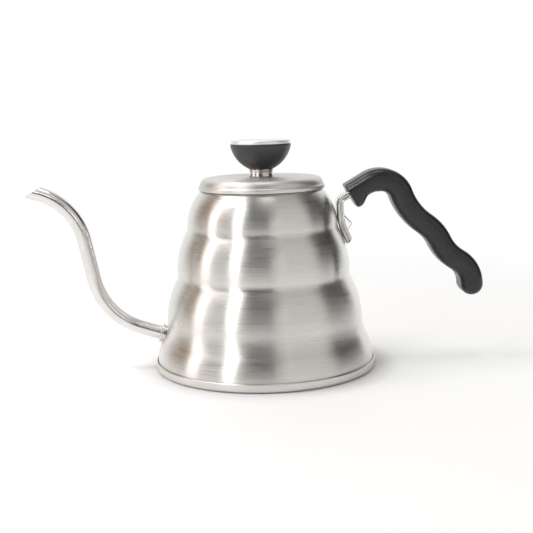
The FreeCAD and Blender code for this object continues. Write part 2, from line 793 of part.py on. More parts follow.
def grip_blank():
    """The swept bar and the half-round end it runs out in."""
    path, end, heading = chain(
        "grip_path",
        ("grip_start_x", "grip_start_z"),
        "grip_heading",
        [
            ("run", "grip_front_run"),
            ("right", "grip_hook_radius", "grip_hook_turn"),
            ("left", "first_wave_radius", "first_wave_turn"),
            ("right", "second_wave_radius", "second_wave_turn"),
            ("left", "third_wave_radius", "third_wave_turn"),
            ("right", "tail_radius", "tail_turn"),
        ],
    )
    shape = ("grip_half_width", "grip_half_height", "grip_corner")
    section = rounded_rectangle("grip_section", *shape)
    aimed(section, "Sizes.grip_start_x", "Sizes.grip_start_z", "Sizes.grip_heading")
    half = rounded_rectangle("grip_end_section", *shape, whole=False)
    aimed(half, end.x, end.y, heading)
    doc.recompute()
    bar = sweep("grip_bar", section, path)
    tail = doc.addObject("Part::Revolution", "grip_tail")
    tail.Source = half
    tail.Base = Vector(end.x, 0, end.y)
    tail.Axis = Vector(0, 1, 0)
    tail.Angle = 180
    tail.Solid = True
    return [bar, tail]


def finger_stop():
    """The nub under the grip's front end, flush with its front face."""
    sketch = upright_sketch("stop_profile")
    corners = [
        ("stop_top_x", "stop_top_z", None),
        ("stop_low_x", "stop_low_z", "stop_nose_radius"),
        ("stop_back_x", "stop_back_z", None),
        ("stop_root_x", "stop_root_z", None),
    ]
    closed_outline(sketch, corners)
    block = doc.addObject("Part::Extrusion", "stop_block")
    block.Base = sketch
    block.DirMode = "Custom"
    block.Dir = Vector(0, 1, 0)
    block.Solid = True
    block.setExpression("LengthFwd", "Sizes.stop_half_width")
    block.setExpression("LengthRev", "Sizes.stop_half_width")
    doc.recompute()
    rounded = doc.addObject("Part::Fillet", "finger_stop")
    rounded.Base = block
    radius, half = size("stop_edge_round"), size("stop_half_width")
    rims = [
        number
        for number, edge in enumerate(block.Shape.Edges, start=1)
        if all(abs(abs(vertex.Y) - half) < 0.01 for vertex in edge.Vertexes)
        and edge.BoundBox.YLength < half
    ]
    rounded.Edges = [(number, radius, radius) for number in rims]
    return rounded


def make_grip():
    slot = doc.addObject("Part::Box", "tang_slot")
    slot.setExpression("Length", "Sizes.slot_length")
    slot.setExpression("Width", "2 * Sizes.slot_half_width")
    slot.setExpression("Height", "Sizes.slot_height")
    in_grip(slot, "Sizes.slot_start", "-Sizes.slot_half_width", "Sizes.slot_z")
    clearance = "Sizes.screw_clearance"
    bore = cylinder("screw_bore", f"Sizes.screw_radius + {clearance}", "10")
    at_grip_screw(bore, "0", "0", "-10 + Sizes.slot_z + 1")
    recess = cylinder("screw_recess", f"Sizes.screw_head_radius + {clearance}", "15")
    at_grip_screw(recess, "0", "0", "Sizes.screw_head_top_z - 15")
    bar = fuse("grip_blank", grip_blank() + [finger_stop()])
    return boolean("Cut", "handle_grip", bar, fuse("grip_hollows", [slot, bore, recess]))


def make_grip_nut():
    nut = doc.addObject("Part::Prism", "nut_blank")
    nut.Polygon = 6
    nut.setExpression("Circumradius", "Sizes.nut_radius")
    nut.setExpression("Height", "Sizes.nut_height")
    bore = cylinder("nut_hole", "Sizes.nut_bore", "Sizes.nut_height")
    for item in (nut, bore):
        at_grip_screw(item, "0", "0", "Sizes.nut_z")
    return boolean("Cut", "grip_nut", nut, bore)


# ---------------------------------------------------------------- lid and knob


def on_axis(item, x, y, z):
    item.setExpression("Placement", f"placement(vector({x}; {y}; {z}); rotation(vector(0; 0; 1); 0))")


def make_lid_shell():
    """The pressed cap with its rolled hem, and the hole for the knob's stud."""
    path, _, _ = chain(
        "lid_profile",
        (None, "lid_top"),
        None,
        [
            ("right", "lid_dome_radius", "lid_dome_turn"),
            ("right", "lid_shoulder_radius", "lid_shoulder_turn"),
            ("run", "lid_side_run"),
            ("left", "hem_hollow_radius", "hem_hollow_turn"),
            ("right", "hem_bead_radius", "hem_bead_turn"),
            ("run", "hem_edge_run"),
        ],
    )
    cap = pressed_sheet("lid_sheet", path, "lid_wall", 1)
    stud = cylinder("lid_stud_hole", "Sizes.stud_hole_radius", "20")
    on_axis(stud, "0", "0", "Sizes.lid_top - 10")
    return boolean("Cut", "lid_shell", cap, stud)


def make_lid_ring():
    """The flange inside the cap and the skirt that drops into the mouth."""
    path, _, _ = chain(
        "ring_profile",
        ("ring_start_x", "ring_start_z"),
        "ring_heading",
        [
            ("run", "ring_flange_run"),
            ("left", "ring_corner_radius", "ring_corner_turn"),
            ("run", "ring_skirt_run"),
        ],
    )
    return pressed_sheet("lid_ring", path, "lid_wall", -1)


def make_knob():
    """The waisted collar, the bowl with a pocket for its insert, and the disc set into its top."""
    collar = [
        ("stud_hole_radius", "collar_low_z", None),
        ("knob_collar_radius", "collar_low_z", None),
        ("knob_collar_radius", "collar_low_lip_z", "-collar_waist_radius"),
        ("knob_collar_radius", "collar_high_lip_z", None),
        ("knob_collar_radius", "collar_top_z", None),
        ("stud_hole_radius", "collar_top_z", None),
    ]
    bowl = [
        ("pocket_radius", "bowl_foot_z", None),
        ("bowl_foot_radius", "bowl_foot_z", "bowl_side_radius"),
        ("bowl_rim_radius", "bowl_rim_z", None),
        ("bowl_lip_radius", "bowl_top_z", None),
        ("bowl_recess_radius", "bowl_top_z", None),
        ("bowl_recess_radius", "bowl_recess_z", None),
        (None, "bowl_recess_z", None),
        (None, "pocket_top_z", None),
        ("pocket_radius", "pocket_top_z", None),
    ]
    cap = [
        (None, "cap_spigot_z", None),
        ("cap_spigot_radius", "cap_spigot_z", None),
        ("cap_spigot_radius", "cap_low_z", None),
        ("cap_radius", "cap_low_z", None),
        ("cap_radius", "cap_edge_z", "cap_edge_round"),
        ("cap_flat_radius", "cap_top_z", None),
        (None, "cap_top_z", None),
    ]
    return [
        turned_body("knob_collar", collar),
        turned_body("knob_bowl", bowl),
        turned_body("knob_cap", cap),
        turned_body("knob_insert", ring_outline("insert_bore", "insert_radius", "insert_low_z",
                                                "insert_top_z")),
        turned_body("knob_washer", ring_outline("stud_hole_radius", "washer_radius",
                                                "washer_low_z", "washer_top_z")),
    ]


def ring_outline(inner, outer, low, high):
    return [(inner, low, None), (outer, low, None), (outer, high, None), (inner, high, None)]


# ---------------------------------------------------------------- all of it


def check(nodes):
    """Stops the run when anything failed to build."""
    for item in doc.Objects:
        if {"Invalid", "Error"} & set(item.State):
            raise RuntimeError(f"{item.Label} did not recompute: {item.State}")
    for node in nodes:
        shape = node.Shape
        if shape.isNull() or not shape.isValid() or len(shape.Solids) != 1:
            raise RuntimeError(f"{node.Label} is not one valid solid")


def main():
    profile = body_profile()
    doc.recompute()
    nodes = [
        make_body(profile),
        make_base(),
        make_spout(),
        make_spout_collar(profile),
        make_bracket(),
        make_gusset(),
        make_grip(),
        screw("grip_screw", "screw", at_grip_screw),
        make_grip_nut(),
        make_lid_shell(),
        make_lid_ring(),
        *make_knob(),
        screw("knob_screw", "stud", on_axis),
    ]
    doc.recompute()
    check(nodes)
    os.makedirs("parts", exist_ok=True)
    for node in nodes:
        node.Shape.exportStep(f"parts/{node.Label}.step")


main()
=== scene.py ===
import math

import bmesh
import bpy
from mathutils import Matrix, Vector


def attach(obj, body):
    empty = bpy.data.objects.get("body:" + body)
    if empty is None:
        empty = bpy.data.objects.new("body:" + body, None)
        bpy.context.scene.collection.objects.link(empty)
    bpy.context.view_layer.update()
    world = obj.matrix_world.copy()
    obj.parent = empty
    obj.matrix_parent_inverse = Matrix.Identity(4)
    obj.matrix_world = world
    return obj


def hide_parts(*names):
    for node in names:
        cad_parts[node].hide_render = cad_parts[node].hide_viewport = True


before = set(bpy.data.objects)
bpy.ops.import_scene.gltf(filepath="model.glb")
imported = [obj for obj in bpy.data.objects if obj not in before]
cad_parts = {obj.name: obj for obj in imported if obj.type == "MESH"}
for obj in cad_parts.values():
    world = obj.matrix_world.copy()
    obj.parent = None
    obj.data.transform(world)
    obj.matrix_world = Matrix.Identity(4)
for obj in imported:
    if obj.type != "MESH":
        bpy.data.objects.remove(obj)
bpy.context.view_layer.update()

# Stove-top gooseneck kettle. Outlines are in millimetres in the XZ plane, objects in metres:
# +Z up, spout towards -X, handle towards +X, the origin under the middle of the base.
MM = 0.001
TURNS = 256  # segments of the large turned pieces
LEFT, RIGHT = 1, -1  # the side of its line on which sheet metal lies
SHARP_ANGLE = math.radians(40)


# ---------------------------------------------------------------- outlines


def arc(x, z, radius, first, last, step=3.0):
    """Points on the arc about (x, z) from one angle to another, in degrees."""
    count = max(2, math.ceil(abs(last - first) / step))
    angles = [math.radians(first + (last - first) * i / count) for i in range(count + 1)]
    return [(x + radius * math.cos(a), z + radius * math.sin(a)) for a in angles]


def chain(x, z, heading, moves, step=0.6):
    """Points and headings along runs (length,) and turns (radius, degrees; left is positive)."""
    stations = [(x, z, heading)]
    for move in moves:
        if len(move) == 1:
            count = max(1, math.ceil(move[0] / step))
            along = math.radians(heading)
            for i in range(1, count + 1):
                go = move[0] * i / count
                stations.append((x + go * math.cos(along), z + go * math.sin(along), heading))
        else:
            radius, turn = move
            side = math.copysign(1, turn)
            centre_angle = math.radians(heading + 90 * side)
            cx, cz = x + radius * math.cos(centre_angle), z + radius * math.sin(centre_angle)
            length = math.radians(abs(turn)) * radius
            count = max(2, math.ceil(abs(turn) / 4), math.ceil(length / step))
            for i in range(1, count + 1):
                now = heading + turn * i / count
                angle = math.radians(now - 90 * side)
                stations.append((cx + radius * math.cos(angle), cz + radius * math.sin(angle), now))
        x, z, heading = stations[-1]
    return stations


def sheet(stations, wall, side):
    """The closed outline of sheet metal that runs along the stations and lies to one side."""
    near, far = [], []
    for x, z, heading in stations:
        angle = math.radians(heading + 90 * side)
        near.append((x, z))
        far.append((x + wall * math.cos(angle), z + wall * math.sin(angle)))

    def cap(station, forward):
        x, z, heading = station
        along, across = math.radians(heading), math.radians(heading + 90 * side)
        middle = (x + wall / 2 * math.cos(across), z + wall / 2 * math.sin(across))
        points = []
        for i in range(1, 6):
            a = math.pi * i / 6
            out, over = wall * 0.25 * math.sin(a) * forward, -wall / 2 * math.cos(a)
            points.append((
                middle[0] + out * math.cos(along) + over * math.cos(across),
                middle[1] + out * math.sin(along) + over * math.sin(across),
            ))
        return points

    end = cap(stations[-1], 1)
    start = cap(stations[0], -1)
    return near + end + far[::-1] + start[::-1]


def rounded(corners, step=12.0):
    """A closed outline from corners (x, z, radius), with each corner rounded to its radius."""
    points = []
    count = len(corners)
    for i, (x, z, radius) in enumerate(corners):
        here = Vector((x, z))
        before = Vector(corners[i - 1][:2]) - here
        after = Vector(corners[(i + 1) % count][:2]) - here
        if not radius:
            points.append((x, z))
            continue
        to_before, to_after = before.normalized(), after.normalized()
        half = to_before.angle(to_after) / 2
        reach = radius / math.tan(half)
        centre = here + (to_before + to_after).normalized() * (radius / math.sin(half))
        first, last = here + to_before * reach, here + to_after * reach
        a0 = math.degrees(math.atan2(first.y - centre.y, first.x - centre.x))
        a1 = math.degrees(math.atan2(last.y - centre.y, last.x - centre.x))
        turn = (a1 - a0 + 180) % 360 - 180
        support = min(0.3, radius * 0.5)
        if before.length > reach + 2 * support:
            points.append(tuple(first + to_before * support))
        points += arc(centre.x, centre.y, radius, a0, a0 + turn, step)
        if after.length > reach + 2 * support:
            points.append(tuple(last + to_after * support))
    return points


# ---------------------------------------------------------------- meshes


def shade(mesh):
    """Smooth shading with sharp edges."""
    mesh.polygons.foreach_set("use_smooth", [True] * len(mesh.polygons))
    mesh.set_sharp_from_angle(angle=SHARP_ANGLE)


def new_object(name, bm, material):
    """Makes an object of the scene from the mesh being built."""
    bmesh.ops.remove_doubles(bm, verts=bm.verts, dist=1e-7)
    bmesh.ops.recalc_face_normals(bm, faces=bm.faces)
    mesh = bpy.data.meshes.new(name)
    bm.to_mesh(mesh)
    bm.free()
    shade(mesh)
    piece = bpy.data.objects.new(name, mesh)
    bpy.context.scene.collection.objects.link(piece)
    mesh.materials.append(material)
    return piece


def grid_faces(bm, rings, closed_across=True, closed_along=False):
    """Quads between neighbouring rings of vertices."""
    pairs = list(zip(rings, rings[1:]))
    if closed_along:
        pairs.append((rings[-1], rings[0]))
    for low, high in pairs:
        count = len(low)
        for i in range(count if closed_across else count - 1):
            j = (i + 1) % count
            corners = [low[i], low[j], high[j], high[i]]
            distinct = list(dict.fromkeys(corners))
            if len(distinct) > 2:
                bm.faces.new(distinct)


def lathe(name, outline, material, turns=TURNS, place=None):
    """Turns a closed outline about the Z axis. A point on the axis becomes one vertex."""
    bm = bmesh.new()
    rings = []
    for x, z in outline:
        if x < 1e-6:
            rings.append([bm.verts.new((0, 0, z * MM))] * turns)
            continue
        ring = []
        for i in range(turns):
            a = 2 * math.pi * i / turns
            ring.append(bm.verts.new((x * MM * math.cos(a), x * MM * math.sin(a), z * MM)))
        rings.append(ring)
    for low, high in zip(rings, rings[1:] + rings[:1]):
        if low[0] is low[1] and high[0] is high[1]:
            continue
        grid_faces(bm, [low, high])
    if place is not None:
        bm.transform(place)
    return new_object(name, bm, material)


def slab(name, outline, half, edge, material):
    """A flat plate with rounded edges, standing in the XZ plane, with painted shade marked on its rim by a
    vertex attribute.
    """
    bm = bmesh.new()
    painted_shade = bm.verts.layers.float.new("painted_shade")
    centre = Vector((sum(p[0] for p in outline), sum(p[1] for p in outline))) / len(outline)
    rings, steps = [], 4
    profile = [(edge * (1 - math.sin(a)), -half + edge * (1 - math.cos(a)))
               for a in (math.pi / 2 * i / steps for i in range(steps + 1))]
    profile += [(inset, -y) for inset, y in reversed(profile)]
    for inset, y in profile:
        ring = []
        for i, (x, z) in enumerate(outline):
            before, after = Vector(outline[i - 1]), Vector(outline[(i + 1) % len(outline)])
            tangent = (after - before).normalized()
            inward = Vector((-tangent.y, tangent.x))
            if inward.dot(centre - Vector((x, z))) < 0:
                inward = -inward
            point = Vector((x, z)) + inward * inset
            vertex = bm.verts.new((point.x * MM, y * MM, point.y * MM))
            # Painted shade: the rim is marked to be darkened in the material.
            vertex[painted_shade] = 1.0 if inset < 0.9 * edge else 0.0
            ring.append(vertex)
        rings.append(ring)
    grid_faces(bm, rings)
    bm.faces.new(rings[0])
    bm.faces.new(rings[-1])
    return new_object(name, bm, material)


def cut(piece, tool):
    """Takes the tool's shape out of the piece for good."""
    modifier = piece.modifiers.new("cut", "BOOLEAN")
    modifier.operation = "DIFFERENCE"
    modifier.solver = "EXACT"
    modifier.object = tool
    bpy.context.view_layer.update()
    depsgraph = bpy.context.evaluated_depsgraph_get()
    mesh = bpy.data.meshes.new_from_object(piece.evaluated_get(depsgraph))
    piece.modifiers.clear()
    old = piece.data
    piece.data = mesh
    bpy.data.meshes.remove(old)
    shade(mesh)
    bpy.data.objects.remove(tool)


def rod_tool(radius, low, high, place, material):
    """A cylinder for cutting, between two heights on the Z axis of a place."""
    outline = [(0, low), (radius, low), (radius, high), (0, high)]
    return lathe("tool", outline, material, 64, place)


def box_tool(low, high, place, material):
    """A box for cutting, between two corners in the axes of a place."""
    bm = bmesh.new()
    bmesh.ops.create_cube(bm, size=1.0)
    size = Vector(high) - Vector(low)
    middle = (Vector(high) + Vector(low)) / 2
    bm.transform(Matrix.Translation(middle * MM) @ Matrix.Diagonal((*(size * MM), 1)))
    bm.transform(place)
    return new_object("tool", bm, material)


def in_plane(x, z, heading):
    """The place at (x, z) whose X runs along the heading and whose Z stands to its left."""
    turn = Matrix.Rotation(-math.radians(heading), 4, "Y")
    return Matrix.Translation((x * MM, 0, z * MM)) @ turn


def beside(station, y, n):
    """The point that lies y across a path and n to the left of its heading, in metres."""
    x, z, heading = station
    a = math.radians(heading)
    return (x - n * math.sin(a)) * MM, y * MM, (z + n * math.cos(a)) * MM


# ---------------------------------------------------------------- materials


class Tree:
    """Short ways to build a node tree."""

    def __init__(self, tree):
        self.tree = tree

    def add(self, kind, **settings):
        node = self.tree.nodes.new(kind)
        for key, value in settings.items():
            setattr(node, key, value)
        return node

    def link(self, output, socket):
        self.tree.links.new(output, socket)

    def feed(self, node, index, value):
        if isinstance(value, bpy.types.NodeSocket):
            self.link(value, node.inputs[index])
        else:
            node.inputs[index].default_value = value

    def math(self, operation, a, b=0.0, c=0.0):
        node = self.add("ShaderNodeMath", operation=operation)
        for index, value in enumerate((a, b, c)):
            self.feed(node, index, value)
        return node.outputs[0]

    def combine(self, x, y, z):
        node = self.add("ShaderNodeCombineXYZ")
        for index, value in enumerate((x, y, z)):
            self.feed(node, index, value)
        return node.outputs[0]

    def noise(self, vector, scale, detail=3.0, roughness=0.55):
        node = self.add("ShaderNodeTexNoise")
        self.link(vector, node.inputs["Vector"])
        node.inputs["Scale"].default_value = scale
        node.inputs["Detail"].default_value = detail
        node.inputs["Roughness"].default_value = roughness
        return node.outputs["Fac"]

    def spread(self, value, low, high, from_low=0.3, from_high=0.7, kind="LINEAR"):
        node = self.add("ShaderNodeMapRange", interpolation_type=kind)
        self.link(value, node.inputs["Value"])
        for key, number in (("From Min", from_low), ("From Max", from_high),
                            ("To Min", low), ("To Max", high)):
            node.inputs[key].default_value = number
        return node.outputs["Result"]

    def blend(self, factor, first, second):
        node = self.add("ShaderNodeMix", data_type="RGBA")
        for index, value in ((0, factor), (6, first), (7, second)):
            self.feed(node, index, (*value, 1) if isinstance(value, tuple) else value)
        return node.outputs[2]

    def bump(self, height, distance, strength=1.0, below=None):
        node = self.add("ShaderNodeBump")
        self.link(height, node.inputs["Height"])
        node.inputs["Distance"].default_value = distance
        node.inputs["Strength"].default_value = strength
        if below is not None:
            self.link(below, node.inputs["Normal"])
        return node.outputs["Normal"]

    def ramp(self, value, stops):
        """Colours (place, colour) along a value from 0 to 1."""
        node = self.add("ShaderNodeValToRGB")
        self.link(value, node.inputs[0])
        elements = node.color_ramp.elements
        for index, (place, colour) in enumerate(stops):
            if index in (0, len(stops) - 1):
                stop = elements[0 if index == 0 else len(elements) - 1]
                stop.position = place
            else:
                stop = elements.new(place)
            stop.color = (*colour, 1)
        return node.outputs[0]

    def glow(self, kind, colour, strength):
        """An emission or background shader."""
        node = self.add(kind)
        for index, value in enumerate((colour, strength)):
            self.feed(node, index, (*value, 1) if isinstance(value, tuple) else value)
        return node.outputs[0]

    def mix_shaders(self, factor, first, second):
        node = self.add("ShaderNodeMixShader")
        for index, value in enumerate((factor, first, second)):
            self.link(value, node.inputs[index])
        return node.outputs[0]


class Nodes(Tree):
    """The nodes of a new material."""

    def __init__(self, name):
        self.material = bpy.data.materials.new(name)
        self.material.use_nodes = True
        super().__init__(self.material.node_tree)
        self.shader = self.tree.nodes["Principled BSDF"]
        self.position = self.add("ShaderNodeTexCoord").outputs["Object"]

    def brush_lines(self, around, across):
        """Coordinates stretched round the Z axis: noise on them makes rings of fine lines."""
        split = self.add("ShaderNodeSeparateXYZ")
        self.link(self.position, split.inputs[0])
        x, y, z = split.outputs
        radius = self.math("SQRT", self.math("ADD", self.math("MULTIPLY", x, x),
                                             self.math("MULTIPLY", y, y)))
        meridian = self.math("MULTIPLY", self.math("SUBTRACT", z, radius), across)
        return self.combine(self.math("MULTIPLY", x, around), self.math("MULTIPLY", y, around),
                            meridian)


def brushed_steel(name, dark, light, rough, spread, across=5200.0, anisotropy=0.80):
    """Steel brushed round its axis: fine lines in roughness, colour and bump, and faint smudges."""
    n = Nodes(name)
    shader = n.shader
    shader.inputs["Metallic"].default_value = 1.0
    shader.inputs["Anisotropic"].default_value = anisotropy
    shader.inputs["Anisotropic Rotation"].default_value = 0.25
    fine = n.noise(n.brush_lines(45.0, across), 1.0, 2.0, 0.6)
    broad = n.noise(n.brush_lines(14.0, across * 0.16), 1.0, 2.0)
    smudge = n.noise(n.position, 38.0, 3.0)
    streak = n.math("ADD", n.math("MULTIPLY", fine, 0.78), n.math("MULTIPLY", broad, 0.22))
    n.link(n.blend(n.spread(streak, 0, 1), dark, light), shader.inputs["Base Color"])
    polish = n.math("ADD", n.spread(streak, rough - spread, rough + spread),
                    n.spread(smudge, -0.02, 0.03))
    n.link(polish, shader.inputs["Roughness"])
    n.link(n.bump(fine, 0.000004, 0.3), shader.inputs["Normal"])
    tangent = n.add("ShaderNodeTangent", direction_type="RADIAL", axis="Z")
    n.link(tangent.outputs[0], shader.inputs["Tangent"])
    return n.material


def polished_steel(name, dark, light, rough, painted_shade=None):
    """Polished steel with the faint haze, waviness and hairlines that polishing leaves.

    A colour of painted shade shows where the mesh's vertex attribute for painted shade is above 0.
    """
    n = Nodes(name)
    shader = n.shader
    shader.inputs["Metallic"].default_value = 1.0
    haze = n.noise(n.position, 120.0, 4.0)
    hair = n.noise(n.brush_lines(300.0, 900.0), 1.0, 1.0)
    colour = n.blend(n.spread(haze, 0, 1), dark, light)
    if painted_shade:
        # Painted shade darkens the colour where the vertex attribute is set.
        painted_shade_mask = n.add("ShaderNodeAttribute", attribute_name="painted_shade").outputs["Fac"]
        colour = n.blend(n.math("MINIMUM", painted_shade_mask, 1.0), colour, painted_shade)
    n.link(colour, shader.inputs["Base Color"])
    n.link(n.math("ADD", n.spread(haze, rough - 0.03, rough + 0.04), n.spread(hair, -0.02, 0.02)),
           shader.inputs["Roughness"])
    wave = n.bump(n.noise(n.position, 60.0, 1.0), 0.00004, 0.5)
    n.link(n.bump(hair, 0.000004, 0.25, wave), shader.inputs["Normal"])
    return n.material


def moulded_black(name, base, worn, rough, grain, depth):
    """Black moulded plastic with a fine spark-eroded grain and slightly polished high spots."""
    n = Nodes(name)
    shader = n.shader
    shader.inputs["Specular IOR Level"].default_value = 0.5
    cells = n.add("ShaderNodeTexVoronoi", feature="SMOOTH_F1")
    n.link(n.position, cells.inputs["Vector"])
    cells.inputs["Scale"].default_value = grain
    pits = n.noise(n.position, grain * 0.6, 3.0)
    texture = n.math("ADD", n.math("MULTIPLY", cells.outputs["Distance"], 0.6),
                     n.math("MULTIPLY", pits, 0.6))
    patch = n.noise(n.position, 55.0, 3.0)
    n.link(n.blend(n.spread(patch, 0, 1), base, worn), shader.inputs["Base Color"])
    n.link(n.math("ADD", n.spread(patch, rough - 0.04, rough + 0.05),
                  n.spread(pits, -0.05, 0.05)), shader.inputs["Roughness"])
    n.link(n.bump(texture, depth, 0.7), shader.inputs["Normal"])
    return n.material


def turned_brass(name):
    """Brass with the fine rings that turning leaves."""
    n = Nodes(name)
    shader = n.shader
    shader.inputs["Metallic"].default_value = 1.0
    rings = n.noise(n.brush_lines(60.0, 4200.0), 1.0, 3.0, 0.7)
    n.link(n.blend(n.spread(rings, 0, 1), (0.60, 0.42, 0.16), (0.78, 0.58, 0.26)),
           shader.inputs["Base Color"])
    n.link(n.spread(rings, 0.22, 0.38), shader.inputs["Roughness"])
    n.link(n.bump(rings, 0.00001, 0.5), shader.inputs["Normal"])
    return n.material


PAINTED_SHADE_COLOUR = (0.10, 0.095, 0.09)  # painted shade: the dark line in a fold or along an edge
BODY = brushed_steel("brushed_body", (0.67, 0.655, 0.62), (0.80, 0.785, 0.745),
                     rough=0.31, spread=0.06, across=2600.0, anisotropy=0.90)
LID = brushed_steel("brushed_lid", (0.66, 0.65, 0.63), (0.79, 0.78, 0.76),
                    rough=0.46, spread=0.04, across=2600.0, anisotropy=0.45)
BASE = brushed_steel("satin_base", (0.70, 0.68, 0.655), (0.77, 0.75, 0.725),
                     rough=0.32, spread=0.03, across=4200.0, anisotropy=0.4)
CAP = brushed_steel("spun_cap", (0.89, 0.885, 0.875), (0.94, 0.935, 0.925),
                    rough=0.46, spread=0.04, across=3600.0, anisotropy=0.3)
SPOUT = polished_steel("polished_spout", (0.75, 0.73, 0.705), (0.81, 0.79, 0.765), rough=0.20)
BRACKET = polished_steel("polished_bracket", (0.72, 0.71, 0.69), (0.80, 0.79, 0.77), rough=0.20, painted_shade=PAINTED_SHADE_COLOUR)
# The ear's steel is lighter than the bracket's: a painted highlight for its bright reflection.
EAR_PAINTED_HIGHLIGHT = polished_steel("ear_painted_highlight", (0.90, 0.89, 0.88), (0.95, 0.94, 0.93), rough=0.14, painted_shade=PAINTED_SHADE_COLOUR)
COLLAR = polished_steel("turned_collar", (0.60, 0.57, 0.54), (0.72, 0.69, 0.66), rough=0.20)
FASTENER = brushed_steel("plain_screw", (0.50, 0.49, 0.48), (0.62, 0.61, 0.60), rough=0.33, spread=0.06)
GRIP = moulded_black("grained_black", (0.010, 0.011, 0.0135), (0.018, 0.0195, 0.023),
                     rough=0.29, grain=2000.0, depth=0.00004)
KNOB = moulded_black("satin_black", (0.034, 0.034, 0.035), (0.044, 0.044, 0.046),
                     rough=0.38, grain=3600.0, depth=0.00002)
BRASS = turned_brass("turned_brass")


# ---------------------------------------------------------------- pieces


def own(piece, body, slot, *nodes):
    """Says which body a piece rides on and hides the CAD nodes it stands for. The record slot is not used.
    """
    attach(piece, body)
    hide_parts(*nodes)
    return piece


# Body: four bulged tiers (x, z, radius) and the radius of the valley above each.
TIERS = [(34.9, 3.7, 35.8), (9.6, 30.9, 54.1), (6.3, 64.5, 49.5), (13.9, 92.0, 34.6)]
VALLEYS = [30.0, 8.0, 8.0]
BODY_BOTTOM, MOUTH, LIP, NECK_BOTTOM = 1.6, 36.4, 1.5, 111.5
BODY_WALL, WELD_GAP = 0.8, 0.05


def outer_centre(low, high, radius):
    """Centre of the circle of a radius that touches two circles from outside."""
    a, b = Vector(low[:2]), Vector(high[:2])
    line = b - a
    ka, kb = low[2] + radius, high[2] + radius
    along = (ka**2 - kb**2 + line.length**2) / (2 * line.length)
    off = math.sqrt(ka**2 - along**2)
    unit = line.normalized()
    return a + unit * along + Vector((unit.y, -unit.x)) * off


def angle_to(point, centre):
    return math.degrees(math.atan2(point[1] - centre[1], point[0] - centre[0]))


def body_stations():
    """The body's outside line as stations, from under the base's rim to inside the mouth."""
    centres = [outer_centre(TIERS[i], TIERS[i + 1], VALLEYS[i]) for i in range(3)]
    lip_x = MOUTH + LIP
    x, z, radius = TIERS[3]
    lip_z = z + math.sqrt((radius - LIP) ** 2 - (lip_x - x) ** 2)
    first = math.degrees(math.asin((BODY_BOTTOM - TIERS[0][1]) / TIERS[0][2]))
    stations = []

    def follow(cx, cz, r, a0, a1):
        for px, pz in arc(cx, cz, r, a0, a1, math.degrees(0.8 / r)):
            side = 90 if a1 > a0 else -90
            stations.append((px, pz, angle_to((px, pz), (cx, cz)) + side))

    for i, (x, z, radius) in enumerate(TIERS):
        last = angle_to(centres[i], (x, z)) if i < 3 else angle_to((lip_x, lip_z), (x, z))
        follow(x, z, radius, first, last)
        if i < 3:
            above = angle_to(TIERS[i + 1], centres[i]) % 360
            below = angle_to(TIERS[i], centres[i]) % 360
            follow(*centres[i], VALLEYS[i], below, above)
            first = angle_to(centres[i], TIERS[i + 1])
    follow(lip_x, lip_z, LIP, last, 180)
    depth = lip_z - NECK_BOTTOM
    stations += [(MOUTH, lip_z - depth * i / 5, -90) for i in range(1, 6)]
    clean = [stations[0]]
    for station in stations[1:]:
        if math.dist(station[:2], clean[-1][:2]) > 0.01:
            clean.append(station)
    return clean


SPOUT_ROOT = (64.0, 21.5, 18.4)  # x, z and heading, drawn along +X
SPOUT_MOVES = [(18.2,), (43.4, 60.4), (26.4,), (40.0, -64.0), (8.4,)]
SPOUT_OUTER, SPOUT_BORE, SPOUT_HOLE = 4.55, 4.05, 4.6
SPOUT_LIP, SPOUT_SLOPE = (152.15, 113.9), 149.0  # a point and the heading of the slanted cut
SPOUT_SIDES, SPOUT_TIP_RINGS, SPOUT_EDGE = 72, 14, 0.12
HALF_TURN = Matrix.Rotation(math.pi, 4, "Z")


def spout_axis():
    """The place whose Z runs out along the spout's straight root, on the -X side."""
    x, z, heading = SPOUT_ROOT
    return HALF_TURN @ in_plane(x, z, heading) @ Matrix.Rotation(math.pi / 2, 4, "Y")


def make_body():
    piece = lathe("kettle_body", sheet(body_stations(), BODY_WALL, LEFT), BODY)
    cut(piece, rod_tool(SPOUT_HOLE, -6, 8, spout_axis(), BODY))
    return own(piece, "kettle", "body_steel", "body_shell")


BASE_RADIUS, BASE_INNER, BASE_FLOOR = 72.0, 70.8, 1.2
UNDERSIDE_RINGS, RING_DEPTH, RING_SLOPE = ((15.0, 17.5), (56.0, 60.0)), 0.35, 0.5


def make_base():
    """A flat disc with a raised rim and two pressed rings in its underside."""
    corners = [(0, 0, 0)]
    for inner, outer in UNDERSIDE_RINGS:
        corners += [(inner, 0, 0.3), (inner + RING_SLOPE, RING_DEPTH, 0.3),
                    (outer - RING_SLOPE, RING_DEPTH, 0.3), (outer, 0, 0.3)]
    corners += [(BASE_RADIUS, 0, 1.8), (BASE_RADIUS, 5.3, 0.5), (71.4, 5.6, 0.2),
                (BASE_INNER, 4.5, 0.1), (BASE_INNER, BASE_FLOOR, 0.3), (0, BASE_FLOOR, 0)]
    piece = lathe("base_ring", rounded(corners, 10.0), BASE)
    return own(piece, "kettle", "body_steel", "base_plate")


def tube_ring(station, radius, count):
    """A ring of points square to the path at a station, as (x, y, z) in millimetres."""
    x, z, heading = station
    a = math.radians(heading)
    ring = []
    for i in range(count):
        t = 2 * math.pi * i / count
        up, side = radius * math.cos(t), radius * math.sin(t)
        ring.append(Vector((x - up * math.sin(a), side, z + up * math.cos(a))))
    return ring


